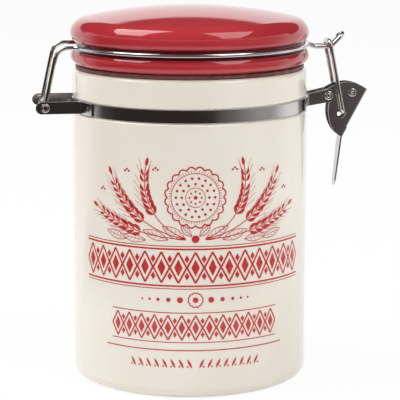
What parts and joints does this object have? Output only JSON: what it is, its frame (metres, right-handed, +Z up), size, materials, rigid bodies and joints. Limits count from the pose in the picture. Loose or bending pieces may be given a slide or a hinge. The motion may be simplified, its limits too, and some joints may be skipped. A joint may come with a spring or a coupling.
{
  "type": "biscuit jar",
  "caption": "Glazed ceramic canister with a hinged clip-top lid, rubber seal, bent wire bail and a stamped lever clasp.",
  "frame": {"origin": "on the jar's axis, in the plane of the foot ring that it stands on", "axes": "+Z up along the jar's axis, -X towards the hinge, +X towards the clasp, -Y towards the printed front"},
  "size_m": [0.1789, 0.1266, 0.198],
  "materials": {
    "cream_glaze": "glossy cream glaze with a red printed front",
    "red_glaze": "glossy red glaze, paler where it breaks over edges",
    "seal_rubber": "milky grey silicone",
    "band_steel": "bright rolled stainless strip",
    "wire_chrome": "bright drawn wire",
    "lever_steel": "bright plated pressing",
    "rivet_steel": "bright rivets and eyelets"
  },
  "bodies": {
    "jar": {"jar_body": "cream_glaze", "neck_band": "band_steel", "hinge_ear_front": "band_steel", "hinge_ear_rear": "band_steel", "hinge_eyelet_front": "rivet_steel", "hinge_eyelet_rear": "rivet_steel", "clasp_ear_front": "band_steel", "clasp_ear_rear": "band_steel", "pivot_rivet_front": "rivet_steel", "pivot_rivet_rear": "rivet_steel"},
    "lid_assembly": {"lid": "red_glaze", "lid_gasket": "seal_rubber", "lid_wire": "wire_chrome"},
    "lever": {"clasp_lever": "lever_steel", "lever_cross_rivet": "rivet_steel"},
    "link": {"link_wire": "wire_chrome"}
  },
  "joints": [
    {"name": "lid_hinge", "type": "hinge", "parent": "jar", "child": "lid_assembly", "pos_m": [-0.078, 0, 0.147], "axis": [0, -1, 0], "range_deg": [0, 200]},
    {"name": "lever_pivot", "type": "hinge", "parent": "jar", "child": "lever", "pos_m": [0.0745, 0, 0.1493], "axis": [0, -1, 0], "range_deg": [0, 105]},
    {"name": "link_swing", "type": "hinge", "parent": "lever", "child": "link", "pos_m": [0.08206, 0, 0.14024], "axis": [0, -1, 0], "range_deg": [-120, 0]}
  ],
  "couplings": [
    {"joint": "link_swing", "follows": "lever_pivot", "ratio": -1.14}
  ]
}
